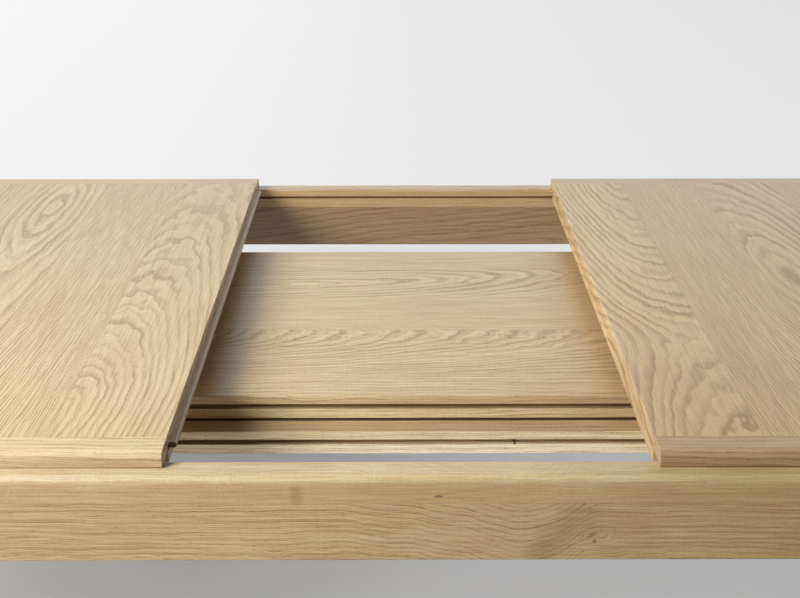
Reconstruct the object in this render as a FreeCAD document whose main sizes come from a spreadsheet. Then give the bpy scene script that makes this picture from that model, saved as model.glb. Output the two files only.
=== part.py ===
import FreeCAD, Part
import os
import re
import Sketcher

# A draw leaf table: two sliding halves of the top on a frame of rails and legs,
# with two loose leaves stored one above the other between the long rails.
# +X runs along the table, -Y is the front, +Z is up. The origin is on the floor,
# under the middle of the table. All sizes are in millimetres.

Vector = FreeCAD.Vector
doc = FreeCAD.newDocument("draw_leaf_table")
sheet = doc.addObject("Spreadsheet::Sheet", "Sizes")

SIZES = (
    ("table_height", 750, "floor to the upper face of the top"),
    ("overall_width", 994, "over the outer faces of the long rails"),
    ("base_length", 1780, "length of the long rails"),
    ("half_length", 900, "length of one half of the top"),
    ("rest_opening", 534, "gap between the halves as the table stands"),
    ("travel_out", 250, "how far a half still draws out from there"),
    ("panel_thick", 32, "thickness of the halves and the leaves"),
    ("lipping_width", 34, "lipping, across its grain"),
    ("lipping_thick", 18, "lipping, top to underside"),
    ("lipping_rest", 14, "how far a lipping reaches over a rail"),
    ("lipping_round", 9, "round along the outer upper edge of the top"),
    ("edge_ease", 1, "small round on sharp edges"),
    ("tongue_thick", 6.6, "tongue, top to underside"),
    ("tongue_middle", 14.9, "middle of the tongue below the upper face"),
    ("tongue_reach", 8, "how far a tongue stands out"),
    ("tongue_seat", 10, "how deep a tongue is glued in"),
    ("tongue_stop", 42, "how far a tongue stops short of the top's sides"),
    ("tongue_round", 2.5, "round on the nose of a tongue"),
    ("tongue_clear", 0.3, "gap between a tongue and each groove wall"),
    ("groove_depth", 9, "groove that takes a tongue"),
    ("rail_thick", 32, "long rail, across the table"),
    ("rail_height", 107, "long rail, top to bottom"),
    ("rail_drop", 19, "rail top below the upper face of the top"),
    ("rail_round", 8, "round along the outer upper edge of a rail"),
    ("rail_ease", 2, "small round on the other rail edges"),
    ("runner_thick", 4, "flat steel runner"),
    ("runner_width", 80, "flat steel runner, across the table"),
    ("runner_reach", 12, "how far a runner reaches into its rail"),
    ("runner_inset", 23, "runner end behind the inner edge of its half"),
    ("runner_side_clear", 0.5, "gap between runner edge and groove bottom"),
    ("runner_top_clear", 0.4, "gap between runner and groove ceiling"),
    ("runner_screw_inset", 25, "screw beside each end of a runner"),
    ("buffer_length", 15, "rubber buffer in the end of a runner groove"),
    ("stop_clear", 0.5, "gap between runner and buffer at full draw"),
    ("hanger_slot_drop", 28, "hanger slot below the rail top"),
    ("hanger_slot_height", 9, "hanger slot, top to bottom"),
    ("hanger_slot_depth", 9, "hanger slot, into the rail"),
    ("leaf_width", 500, "leaf, across its grain"),
    ("leaf_drop", 56, "upper face of the stored upper leaf below the top"),
    ("lower_leaf_shift", 30, "how far the lower leaf lies to the front"),
    ("felt_thick", 2.5, "felt under the leaves"),
    ("felt_width", 25, "felt strip, across its length"),
    ("felt_stop", 79, "how far a felt strip stops short of a leaf's ends"),
    ("felt_offset", 175, "middle of a felt strip from the leaf's middle"),
    ("bearer_inset", 94, "how far a bearer lies inside a leaf's end"),
    ("bearer_width", 45, "bearer, along the table"),
    ("bearer_thick", 22, "bearer, top to bottom"),
    ("hanger_thick", 30, "hanger, across the table"),
    ("hanger_clear", 4, "gap between hanger and runner"),
    ("fit_clear", 0.2, "gap all round a joint's tongue or tenon"),
    ("leg_size", 85, "leg, both ways"),
    ("leg_round", 4, "round on the upright edges of a leg"),
    ("leg_flat", 12, "flat on the inner corner of a leg"),
    ("top_clear", 2, "gap between runner and the leg under it"),
    ("end_rail_thick", 28, "end rail, along the table"),
    ("end_rail_inset", 10, "end rail behind the leg's outer face"),
    ("tenon_thick", 10, "tenon of an end rail"),
    ("tenon_length", 25, "tenon of an end rail"),
    ("tenon_shoulder", 15, "shoulder above and below the tenon"),
    ("glide_strip_width", 18, "felt glide on an end rail, along the table"),
    ("glide_strip_length", 740, "felt glide on an end rail, across the table"),
    ("block_thick", 25, "corner block, along its bolt"),
    ("block_height", 60, "corner block, top to bottom"),
    ("bolt_radius", 4, "leg bolt"),
    ("bolt_depth", 45, "leg bolt into the leg"),
    ("bolt_stub", 12, "leg bolt out of the corner block"),
    ("bolt_clear", 0.5, "gap round the bolt in the corner block"),
    ("nut_radius", 7.5, "across the corners of a nut, halved"),
    ("nut_height", 6.5, "nut without its flange"),
    ("flange_radius", 10, "flange of a nut"),
    ("flange_thick", 1.5, "flange of a nut"),
    ("glide_radius", 20, "foot glide"),
    ("glide_thick", 3, "foot glide"),
    ("screw_radius", 2, "wood screw"),
    ("head_radius", 4, "head of a wood screw"),
    ("head_height", 2, "head of a wood screw"),
    ("screw_clear", 0.05, "gap round a screw in its hole"),
    ("runner_screw_length", 24, "screw through a runner"),
    ("hanger_screw_length", 50, "screw through a hanger"),
    ("bearer_screw_length", 60, "screw through a bearer"),
    ("leg_screw_length", 75, "screw through a leg into a rail"),
    ("hanger_screw_inset", 20, "hanger screw from the bearer and from the slot"),
    ("bearer_screw_gap", 22, "between the two screws in a bearer's end"),
    ("leg_screw_edge", 21, "leg screw from the leg's inner face"),
    ("leg_screw_inset", 13, "leg screw from the rail's underside and the slot's level"),
)
for row, (alias, number, meaning) in enumerate(SIZES, start=1):
    sheet.set(f"A{row}", alias)
    sheet.set(f"B{row}", str(number))
    sheet.set(f"C{row}", meaning)
    sheet.setAlias(f"B{row}", alias)
doc.recompute()


def formula(text):
    """Turn words such as rail_thick into cells of the sheet, in brackets."""
    return "(" + re.sub(r"[a-z]+_\w+", lambda word: "Sizes." + word.group(0), text) + ")"


def number(expression):
    """The value that an expression of the sheet has now."""
    return float(sheet.evalExpression(expression))


# Heights
TOP = formula("table_height")
PANEL_UNDER = formula("table_height - panel_thick")
LIPPING_UNDER = formula("table_height - lipping_thick")
RUNNER_UNDER = formula("table_height - panel_thick - runner_thick")
RUNNER_CEILING = formula("table_height - panel_thick + runner_top_clear")
LEG_TOP = formula("table_height - panel_thick - runner_thick - top_clear")
RAIL_TOP = formula("table_height - rail_drop")
RAIL_BOTTOM = formula("table_height - rail_drop - rail_height")
HANGER_SLOT_TOP = formula("table_height - rail_drop - hanger_slot_drop")
HANGER_SLOT_BOTTOM = formula(
    "table_height - rail_drop - hanger_slot_drop - hanger_slot_height")
HANGER_TOP = formula("table_height - panel_thick - runner_thick - hanger_clear")
UPPER_LEAF_TOP = formula("table_height - leaf_drop")
LOWER_LEAF_TOP = formula("table_height - leaf_drop - panel_thick - felt_thick")
BEARER_TOP = formula("table_height - leaf_drop - 2 * (panel_thick + felt_thick)")
BEARER_BOTTOM = f"({BEARER_TOP} - {formula('bearer_thick')})"
BLOCK_MIDDLE = f"(({RAIL_BOTTOM} + {LEG_TOP}) / 2)"

# Distances from the table's long middle line
RAIL_OUTER = formula("overall_width / 2")
RAIL_INNER = formula("overall_width / 2 - rail_thick")
TOP_SIDE = formula("overall_width / 2 - rail_thick + lipping_rest")
PANEL_SIDE = formula("overall_width / 2 - rail_thick + lipping_rest - lipping_width")
TONGUE_END = formula("overall_width / 2 - rail_thick + lipping_rest - tongue_stop")
RUNNER_TIP = formula("overall_width / 2 - rail_thick + runner_reach")
RUNNER_BACK = formula("overall_width / 2 - rail_thick + runner_reach - runner_width")
RUNNER_GROOVE = formula("overall_width / 2 - rail_thick + runner_reach + runner_side_clear")
HANGER_SLOT = formula("overall_width / 2 - rail_thick + hanger_slot_depth")
HANGER_BACK = formula("overall_width / 2 - rail_thick - hanger_thick")
LEG_INNER_Y = formula("overall_width / 2 - leg_size")
RUNNER_SCREW_Y = f"(({RUNNER_BACK} + {PANEL_SIDE}) / 2)"

# Distances from the table's middle along its length
BASE_END = formula("base_length / 2")
INNER_EDGE = formula("rest_opening / 2")
OUTER_EDGE = formula("rest_opening / 2 + half_length")
RUNNER_IN = formula("rest_opening / 2 + runner_inset")
RUNNER_OUT = formula("base_length / 2 - buffer_length - stop_clear - travel_out")
BUFFER_IN = formula("base_length / 2 - buffer_length")
LEG_INNER_X = formula("base_length / 2 - leg_size")
END_OUTER = formula("base_length / 2 - end_rail_inset")
END_INNER = formula("base_length / 2 - end_rail_inset - end_rail_thick")
BEARER_OUT = f"({TOP_SIDE} - {formula('bearer_inset')})"
BEARER_IN = f"({BEARER_OUT} - {formula('bearer_width')})"
BEARER_MIDDLE = f"({BEARER_OUT} - {formula('bearer_width / 2')})"
FELT_END = f"({TOP_SIDE} - {formula('felt_stop')})"
LEG_MIDDLE_X = formula("base_length / 2 - leg_size / 2")
LEG_MIDDLE_Y = formula("overall_width / 2 - leg_size / 2")

LEFT, RIGHT = -1, 1
FRONT, BACK = -1, 1
ENDS = (("left", LEFT), ("right", RIGHT))
SIDES = (("front", FRONT), ("back", BACK))
CORNERS = tuple((f"{side}_{end}", along, across)
                for side, across in SIDES for end, along in ENDS)
NORMAL_SIGN = {"XY_Plane": 1, "YZ_Plane": 1, "XZ_Plane": -1}
SAME_PLACE = 1e-4       # two places this close, in mm, are one
LEAST_CUT = 1e-3        # a pocket takes away more than this, in cubic mm

nodes = []


def add_node(thing, label):
    """Give an object its own name and keep it for export."""
    thing.Label = label
    nodes.append(thing)
    return thing


# ---------------------------------------------------------------- sketch tools

def plane_sketch(body, role, start):
    """A sketch on one of the body's own planes, moved to start along its normal."""
    plane = next(item for item in body.Origin.OriginFeatures if item.Role == role)
    sketch = body.newObject("Sketcher::SketchObject", "Sketch")
    sketch.AttachmentSupport = (plane, [""])
    sketch.MapMode = "FlatFace"
    sketch.setExpression("AttachmentOffset.Base.z", f"{NORMAL_SIGN[role]} * {start}")
    return sketch


def bind_point(sketch, shape_index, point_index, point):
    """Hold a sketch point at two expressions from the sketch's origin."""
    for kind, place in zip(("DistanceX", "DistanceY"), point):
        constraint = Sketcher.Constraint(
            kind, -1, 1, shape_index, point_index, number(place))
        index = sketch.addConstraint(constraint)
        sketch.setExpression(f"Constraints[{index}]", place)


def outline(body, role, start, points):
    """A closed outline of straight lines through points given as expressions."""
    sketch = plane_sketch(body, role, start)
    corners = [Vector(number(first), number(second), 0) for first, second in points]
    count = len(corners)
    for index, corner in enumerate(corners):
        sketch.addGeometry(Part.LineSegment(corner, corners[(index + 1) % count]))
    for index in range(count):
        follower = (index + 1) % count
        sketch.addConstraint(Sketcher.Constraint("Coincident", index, 2, follower, 1))
    for index, point in enumerate(points):
        bind_point(sketch, index, 1, point)
    return sketch


def circles(body, role, start, centres, radius):
    """Circles of one radius round centres given as expressions."""
    sketch = plane_sketch(body, role, start)
    for index, centre in enumerate(centres):
        middle = Vector(number(centre[0]), number(centre[1]), 0)
        sketch.addGeometry(Part.Circle(middle, Vector(0, 0, 1), number(radius)))
        bind_point(sketch, index, 3, centre)
        constraint = sketch.addConstraint(
            Sketcher.Constraint("Radius", index, number(radius)))
        sketch.setExpression(f"Constraints[{constraint}]", radius)
    return sketch


def rectangle(low_first, high_first, low_second, high_second):
    """The four corners of a rectangle."""
    return ((low_first, low_second), (high_first, low_second),
            (high_first, high_second), (low_first, high_second))


def prism(role, start, end, points):
    """A body whose outline runs from start to end along the world axis."""
    body = doc.addObject("PartDesign::Body", "Body")
    sketch = outline(body, role, start, points)
    pad = body.newObject("PartDesign::Pad", "Pad")
    pad.Profile = sketch
    pad.setExpression("Length", f"{end} - {start}")
    pad.Reversed = NORMAL_SIGN[role] < 0
    doc.recompute()
    return body


def cut(body, sketch, depth, towards):
    """Cut the sketch into the body; towards is +1 or -1 along the world axis."""
    before = body.Shape.Volume
    role = sketch.AttachmentSupport[0][0].Role
    pocket = body.newObject("PartDesign::Pocket", "Pocket")
    pocket.Profile = sketch
    pocket.setExpression("Length", depth)
    pocket.Reversed = towards * NORMAL_SIGN[role] > 0
    doc.recompute()
    if body.Shape.Volume > before - LEAST_CUT:
        raise RuntimeError(f"{body.Label}: a pocket cuts nothing")


def edges_at(shape, **places):
    """Names of the straight edges that lie at the given x, y or z."""
    wanted = {axis: number(place) for axis, place in places.items()}
    names = []
    for index, edge in enumerate(shape.Edges, start=1):
        ends = [vertex.Point for vertex in edge.Vertexes]
        if all(abs(getattr(end, axis) - place) < SAME_PLACE
               for end in ends for axis, place in wanted.items()):
            names.append(f"Edge{index}")
    return names


def round_edges(body, radius, *places):
    """Round every edge that lies at one of the given places."""
    chosen = sorted({name for place in places for name in edges_at(body.Shape, **place)})
    if not chosen:
        raise RuntimeError(f"{body.Label}: no edge to round")
    base = body.Tip
    fillet = body.newObject("PartDesign::Fillet", "Fillet")
    fillet.Base = (base, chosen)
    fillet.setExpression("Radius", radius)
    doc.recompute()


def mirrored(sign, low, high):
    """The low and high ends of a span, on the side of zero that sign names."""
    if sign > 0:
        return low, high
    return f"(-1 * {high})", f"(-1 * {low})"


def signed(sign, place):
    """A place on the side of zero that sign names."""
    return f"({sign} * {place})"


# ------------------------------------------------------------- fastener tools

def turned_to(direction):
    """The rotation that turns +Z to the given direction."""
    return FreeCAD.Rotation(Vector(0, 0, 1), direction)


def stand(thing, base, direction):
    """Put a primitive at a base given as expressions, with its +Z along direction."""
    thing.Placement = FreeCAD.Placement(Vector(0, 0, 0), turned_to(direction))
    for axis, place in zip("xyz", base):
        thing.setExpression(f"Placement.Base.{axis}", place)
    return thing


def cylinder(radius, height, base, direction):
    """A round rod from base along direction."""
    rod = doc.addObject("Part::Cylinder", "Cylinder")
    rod.setExpression("Radius", radius)
    rod.setExpression("Height", height)
    return stand(rod, base, direction)


def cone(radius, tip_radius, height, base, direction):
    """A cone that narrows from base along direction."""
    taper = doc.addObject("Part::Cone", "Cone")
    taper.setExpression("Radius1", radius)
    taper.setExpression("Radius2", tip_radius)
    taper.setExpression("Height", height)
    return stand(taper, base, direction)


def fuse(shapes):
    """One solid out of several that overlap."""
    union = doc.addObject("Part::MultiFuse", "Fuse")
    union.Shapes = shapes
    return union


def subtract(base, tool):
    """The base without the tool."""
    difference = doc.addObject("Part::Cut", "Cut")
    difference.Base = base
    difference.Tool = tool
    return difference


def screw_form(length, base, direction, clearance):
    """A countersunk wood screw, or with a clearance the hole that takes it."""
    shank = f"({formula('screw_radius')} + {clearance})"
    head = f"({formula('head_radius')} + {clearance})"
    taper = cone(head, shank, formula("head_height"), base, direction)
    rod = cylinder(shank, f"({length} + {clearance})", base, direction)
    return fuse([taper, rod])


def screw_group(label, length, places):
    """All the screws of one kind, as one node of separate solids."""
    group = doc.addObject("Part::Compound", "Screws")
    group.Links = [screw_form(length, base, direction, "0") for base, direction in places]
    return add_node(group, label)


def drilled(body, length, places):
    """The body with a screw's hole at each place."""
    holes = doc.addObject("Part::Compound", "Holes")
    clearance = formula("screw_clear")
    holes.Links = [screw_form(length, base, direction, clearance)
                   for base, direction in places]
    return subtract(body, holes)


# ---------------------------------------------------------------- screw places

def runner_screw_places(along, across):
    """Three screws up through a runner into the panel."""
    middle = f"(({RUNNER_IN} + {RUNNER_OUT}) / 2)"
    inset = formula("runner_screw_inset")
    stations = (f"({RUNNER_IN} + {inset})", middle, f"({RUNNER_OUT} - {inset})")
    return [((signed(along, station), signed(across, RUNNER_SCREW_Y), RUNNER_UNDER),
             Vector(0, 0, 1)) for station in stations]


def hanger_screw_places(along, across):
    """Two screws through a hanger into its rail, below the hanger's slot."""
    inset = formula("hanger_screw_inset")
    return [((signed(along, BEARER_MIDDLE), signed(across, HANGER_BACK), height),
             Vector(0, across, 0))
            for height in (f"({BEARER_TOP} + {inset})", f"({HANGER_SLOT_BOTTOM} - {inset})")]


def bearer_screw_places(along, across):
    """Two screws up through a bearer's end into its hanger."""
    middle = f"(({HANGER_BACK} + {RAIL_INNER}) / 2)"
    offset = formula("bearer_screw_gap / 2")
    return [((f"({signed(along, BEARER_MIDDLE)} + {sign} * {offset})",
              signed(across, middle), BEARER_BOTTOM), Vector(0, 0, 1))
            for sign in (-1, 1)]


def leg_screw_places(along, across):
    """Two screws through a leg's cheek into its rail."""
    station = formula("base_length / 2 - leg_size + leg_screw_edge")
    inset = formula("leg_screw_inset")
    return [((signed(along, station), signed(across, LEG_INNER_Y), height),
             Vector(0, across, 0))
            for height in (f"({RAIL_BOTTOM} + {inset})", f"({HANGER_SLOT_BOTTOM} - {inset})")]


# ----------------------------------------------------------------- the frame

def make_long_rail(side, across):
    """A long rail with the runner groove along it and a slot for each hanger."""
    section = [
        (RAIL_OUTER, RAIL_BOTTOM), (RAIL_INNER, RAIL_BOTTOM),
        (RAIL_INNER, RUNNER_UNDER), (RUNNER_GROOVE, RUNNER_UNDER),
        (RUNNER_GROOVE, RUNNER_CEILING), (RAIL_INNER, RUNNER_CEILING),
        (RAIL_INNER, RAIL_TOP), (RAIL_OUTER, RAIL_TOP)]
    points = [(signed(across, place), height) for place, height in section]
    rail = prism("YZ_Plane", f"(-1 * {BASE_END})", BASE_END, points)
    outer = signed(across, RAIL_OUTER)
    inner = signed(across, RAIL_INNER)
    round_edges(rail, formula("rail_round"), {"y": outer, "z": RAIL_TOP})
    round_edges(rail, formula("rail_ease"), {"y": inner, "z": RAIL_TOP},
                {"y": outer, "z": RAIL_BOTTOM}, {"y": inner, "z": RAIL_BOTTOM})
    clear = formula("fit_clear")
    for end, along in ENDS:
        low, high = mirrored(along, f"({BEARER_IN} - {clear})", f"({BEARER_OUT} + {clear})")
        slot = outline(rail, "XZ_Plane", inner,
                       rectangle(low, high, HANGER_SLOT_BOTTOM, HANGER_SLOT_TOP))
        cut(rail, slot, formula("hanger_slot_depth"), across)
    hangers = [place for end, along in ENDS for place in hanger_screw_places(along, across)]
    legs = [place for end, along in ENDS for place in leg_screw_places(along, across)]
    with_hangers = drilled(rail, formula("hanger_screw_length"), hangers)
    add_node(drilled(with_hangers, formula("leg_screw_length"), legs), f"{side}_rail")


def make_end_rail(end, along):
    """An end rail between two legs, with a tenon at each end."""
    low, high = mirrored(along, END_INNER, END_OUTER)
    across = signed(1, LEG_INNER_Y)
    rail = prism("YZ_Plane", low, high,
                 rectangle(signed(-1, across), across, RAIL_BOTTOM, LEG_TOP))
    middle = f"(({END_INNER} + {END_OUTER}) / 2)"
    half = formula("tenon_thick / 2")
    near, far = mirrored(along, f"({middle} - {half})", f"({middle} + {half})")
    reach = f"({LEG_INNER_Y} + {formula('tenon_length')})"
    shoulder = formula("tenon_shoulder")
    tenons = outline(rail, "YZ_Plane", near,
                     rectangle(signed(-1, reach), reach,
                               f"({RAIL_BOTTOM} + {shoulder})", f"({LEG_TOP} - {shoulder})"))
    pad = rail.newObject("PartDesign::Pad", "Pad")
    pad.Profile = tenons
    pad.setExpression("Length", f"{far} - {near}")
    doc.recompute()
    outer = signed(along, END_OUTER)
    round_edges(rail, formula("rail_ease"), {"x": outer, "z": LEG_TOP},
                {"x": outer, "z": RAIL_BOTTOM})
    add_node(rail, f"{end}_end_rail")


def bolt_line(along, across, distance):
    """A point on a leg bolt's axis, at a distance inward from the leg's corner."""
    step = f"({distance} / sqrt(2))"
    return (signed(along, f"({LEG_INNER_X} - {step})"),
            signed(across, f"({LEG_INNER_Y} - {step})"), BLOCK_MIDDLE)


def make_leg(corner, along, across):
    """A leg notched for the long rail, with a mortise for the end rail."""
    x_low, x_high = mirrored(along, LEG_INNER_X, BASE_END)
    y_low, y_high = mirrored(across, LEG_INNER_Y, RAIL_OUTER)
    leg = prism("XY_Plane", formula("glide_thick"), LEG_TOP,
                rectangle(x_low, x_high, y_low, y_high))
    round_edges(leg, formula("leg_round"),
                *({"x": x_place, "y": y_place}
                  for x_place in (x_low, x_high) for y_place in (y_low, y_high)))
    notch_low, notch_high = mirrored(across, RAIL_INNER, formula("overall_width"))
    notch = outline(leg, "XY_Plane", RAIL_BOTTOM,
                    rectangle(f"({x_low} - {formula('leg_size')})",
                              f"({x_high} + {formula('leg_size')})", notch_low, notch_high))
    cut(leg, notch, f"({LEG_TOP} - {RAIL_BOTTOM})", 1)
    corner_x = signed(along, LEG_INNER_X)
    corner_y = signed(across, LEG_INNER_Y)
    flat = formula("leg_flat")
    triangle = outline(leg, "XY_Plane", RAIL_BOTTOM, (
        (corner_x, corner_y),
        (f"({corner_x} + {signed(along, flat)})", corner_y),
        (corner_x, f"({corner_y} + {signed(across, flat)})")))
    cut(leg, triangle, f"({LEG_TOP} - {RAIL_BOTTOM})", 1)
    middle = f"(({END_INNER} + {END_OUTER}) / 2)"
    half = formula("tenon_thick / 2 + fit_clear")
    near, far = mirrored(along, f"({middle} - {half})", f"({middle} + {half})")
    shoulder = formula("tenon_shoulder - fit_clear")
    mortise = outline(leg, "XZ_Plane", corner_y,
                      rectangle(near, far, f"({RAIL_BOTTOM} + {shoulder})",
                                f"({LEG_TOP} - {shoulder})"))
    cut(leg, mortise, formula("tenon_length + fit_clear"), across)
    outward = Vector(along, across, 0)
    bore = cylinder(formula("bolt_radius + screw_clear"), formula("bolt_depth"),
                    bolt_line(along, across, "0"), outward)
    drilled_leg = subtract(leg, bore)
    screws = leg_screw_places(along, across)
    add_node(drilled(drilled_leg, formula("leg_screw_length"), screws), f"leg_{corner}")


def make_corner_block(corner, along, across):
    """A diagonal block that the leg bolt pulls against the two rails."""
    total = f"({LEG_INNER_X} + {LEG_INNER_Y})"
    depth = formula("block_thick * sqrt(2)")
    plan = ((f"({total} - {RAIL_INNER})", RAIL_INNER),
            (END_INNER, f"({total} - {END_INNER})"),
            (END_INNER, f"({total} - {depth} - {END_INNER})"),
            (f"({total} - {depth} - {RAIL_INNER})", RAIL_INNER))
    half = formula("block_height / 2")
    block = prism("XY_Plane", f"({BLOCK_MIDDLE} - {half})", f"({BLOCK_MIDDLE} + {half})",
                  [(signed(along, place), signed(across, side)) for place, side in plan])
    # the bore runs a whole block's thickness past both faces of the block
    bore = cylinder(formula("bolt_radius + bolt_clear"), formula("3 * block_thick"),
                    bolt_line(along, across, formula("2 * block_thick")),
                    Vector(along, across, 0))
    add_node(subtract(block, bore), f"corner_block_{corner}")


def make_leg_bolts():
    """The four threaded rods, as one node."""
    rods = []
    for corner, along, across in CORNERS:
        start = bolt_line(along, across, formula("block_thick + bolt_stub"))
        length = formula("block_thick + bolt_stub + bolt_depth - stop_clear")
        rods.append(cylinder(formula("bolt_radius"), length, start,
                             Vector(along, across, 0)))
    group = doc.addObject("Part::Compound", "Bolts")
    group.Links = rods
    add_node(group, "leg_bolts")


def make_leg_nuts():
    """The four flanged nuts on the corner blocks, as one node."""
    nuts = []
    for corner, along, across in CORNERS:
        inward = Vector(-along, -across, 0)
        base = bolt_line(along, across, formula("block_thick"))
        flange = cylinder(formula("flange_radius"), formula("flange_thick"), base, inward)
        nut = doc.addObject("Part::Prism", "Prism")
        nut.Polygon = 6
        nut.setExpression("Circumradius", formula("nut_radius"))
        nut.setExpression("Height", formula("nut_height + flange_thick"))
        stand(nut, base, inward)
        bore = cylinder(formula("bolt_radius + screw_clear"), formula("2 * nut_height"),
                        base, inward)
        nuts.append(subtract(fuse([flange, nut]), bore))
    group = doc.addObject("Part::Compound", "Nuts")
    group.Links = nuts
    add_node(group, "leg_nuts")


def make_foot_glide(corner, along, across):
    """A round glide under a leg."""
    glide = doc.addObject("PartDesign::Body", "Body")
    centre = (signed(along, LEG_MIDDLE_X), signed(across, LEG_MIDDLE_Y))
    disc = circles(glide, "XY_Plane", "0", [centre], formula("glide_radius"))
    pad = glide.newObject("PartDesign::Pad", "Pad")
    pad.Profile = disc
    pad.setExpression("Length", formula("glide_thick"))
    doc.recompute()
    add_node(glide, f"foot_glide_{corner}")


def make_glide_strip(end, along):
    """The felt on an end rail that a half of the top slides over."""
    middle = f"(({END_INNER} + {END_OUTER}) / 2)"
    half = formula("glide_strip_width / 2")
    low, high = mirrored(along, f"({middle} - {half})", f"({middle} + {half})")
    side = formula("glide_strip_length / 2")
    strip = prism("XY_Plane", LEG_TOP, PANEL_UNDER,
                  rectangle(low, high, signed(-1, side), side))
    add_node(strip, f"{end}_glide_strip")


def make_runner_buffers():
    """The four rubber buffers in the ends of the runner grooves, as one node."""
    buffers = []
    for corner, along, across in CORNERS:
        x_low, x_high = mirrored(along, BUFFER_IN, BASE_END)
        y_low, y_high = mirrored(across, RAIL_INNER, RUNNER_GROOVE)
        block = doc.addObject("Part::Box", "Box")
        block.setExpression("Length", f"{x_high} - {x_low}")
        block.setExpression("Width", f"{y_high} - {y_low}")
        block.setExpression("Height", f"{RUNNER_CEILING} - {RUNNER_UNDER}")
        stand(block, (x_low, y_low, RUNNER_UNDER), Vector(0, 0, 1))
        buffers.append(block)
    group = doc.addObject("Part::Compound", "Buffers")
    group.Links = buffers
    add_node(group, "runner_buffers")


# -------------------------------------------------------- the leaves' bearers

def make_bearer(end, along):
    """A cross bearer under both stored leaves."""
    low, high = mirrored(along, BEARER_IN, BEARER_OUT)
    bearer = prism("XY_Plane", BEARER_BOTTOM, BEARER_TOP,
                   rectangle(low, high, signed(-1, RAIL_INNER), RAIL_INNER))
    round_edges(bearer, formula("edge_ease"),
                {"x": low, "z": BEARER_TOP}, {"x": high, "z": BEARER_TOP},
                {"x": low, "z": BEARER_BOTTOM}, {"x": high, "z": BEARER_BOTTOM})
    screws = [place for side, across in SIDES for place in bearer_screw_places(along, across)]
    add_node(drilled(bearer, formula("bearer_screw_length"), screws), f"{end}_leaf_bearer")


def make_hanger(corner, along, across):
    """A block on a long rail, hooked into its slot, that carries a bearer's end."""
    low, high = mirrored(along, BEARER_IN, BEARER_OUT)
    clear = formula("fit_clear")
    tip = f"({HANGER_SLOT} - {clear})"
    hook_top = f"({HANGER_SLOT_TOP} - {clear})"
    hook_bottom = f"({HANGER_SLOT_BOTTOM} + {clear})"
    section = ((HANGER_BACK, BEARER_TOP), (RAIL_INNER, BEARER_TOP),
               (RAIL_INNER, hook_bottom), (tip, hook_bottom),
               (tip, hook_top), (RAIL_INNER, hook_top),
               (RAIL_INNER, HANGER_TOP), (HANGER_BACK, HANGER_TOP))
    hanger = prism("YZ_Plane", low, high,
                   [(signed(across, place), height) for place, height in section])
    into_rail = drilled(hanger, formula("hanger_screw_length"),
                        hanger_screw_places(along, across))
    from_bearer = drilled(into_rail, formula("bearer_screw_length"),
                          bearer_screw_places(along, across))
    add_node(from_bearer, f"bearer_hanger_{corner}")


# ------------------------------------------------------ the halves of the top

def tongue_span(top, clearance):
    """Underside and upper side of a tongue below a given upper face."""
    middle = f"({top} - {formula('tongue_middle')})"
    half = f"({formula('tongue_thick / 2')} + {clearance})"
    return f"({middle} - {half})", f"({middle} + {half})"


def make_half_panel(end, along):
    """The boards of a half: slotted for its tongue on the left, grooved on the right."""
    if along == LEFT:
        depth, clearance = formula("tongue_seat"), "0"
    else:
        depth, clearance = formula("groove_depth"), formula("tongue_clear")
    low, high = tongue_span(TOP, clearance)
    inside = f"({INNER_EDGE} + {depth})"
    section = ((OUTER_EDGE, PANEL_UNDER), (INNER_EDGE, PANEL_UNDER),
               (INNER_EDGE, low), (inside, low), (inside, high), (INNER_EDGE, high),
               (INNER_EDGE, TOP), (OUTER_EDGE, TOP))
    panel = prism("XZ_Plane", signed(-1, PANEL_SIDE), PANEL_SIDE,
                  [(signed(along, place), height) for place, height in section])
    outer = signed(along, OUTER_EDGE)
    inner = signed(along, INNER_EDGE)
    round_edges(panel, formula("lipping_round"), {"x": outer, "z": TOP})
    round_edges(panel, formula("edge_ease"), {"x": inner, "z": TOP},
                {"x": inner, "z": PANEL_UNDER}, {"x": outer, "z": PANEL_UNDER})
    screws = [place for side, across in SIDES for place in runner_screw_places(along, across)]
    add_node(drilled(panel, formula("runner_screw_length"), screws), f"{end}_top_panel")


def make_half_lipping(end, along, side, across):
    """A lipping along a half's outer side, which reaches over the rail."""
    low, high = mirrored(along, INNER_EDGE, OUTER_EDGE)
    y_low, y_high = mirrored(across, PANEL_SIDE, TOP_SIDE)
    lipping = prism("YZ_Plane", low, high, rectangle(y_low, y_high, LIPPING_UNDER, TOP))
    outer = signed(along, OUTER_EDGE)
    inner = signed(along, INNER_EDGE)
    face = signed(across, TOP_SIDE)
    round_edges(lipping, formula("lipping_round"), {"y": face, "z": TOP},
                {"x": outer, "z": TOP})
    round_edges(lipping, formula("edge_ease"), {"x": inner, "z": LIPPING_UNDER},
                {"y": face, "z": LIPPING_UNDER}, {"x": outer, "z": LIPPING_UNDER})
    add_node(lipping, f"{end}_{side}_lipping")


def make_half_tongue(end, along):
    """The loose tongue glued into a half's inner edge."""
    low, high = tongue_span(TOP, "0")
    nose = f"({INNER_EDGE} - {formula('tongue_reach')})"
    seat = f"({INNER_EDGE} + {formula('tongue_seat')})"
    points = rectangle(signed(along, nose), signed(along, seat), low, high)
    tongue = prism("XZ_Plane", signed(-1, TONGUE_END), TONGUE_END, points)
    nose_place = signed(along, nose)
    round_edges(tongue, formula("tongue_round"), {"x": nose_place, "z": low},
                {"x": nose_place, "z": high})
    add_node(tongue, f"{end}_tongue")


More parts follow.
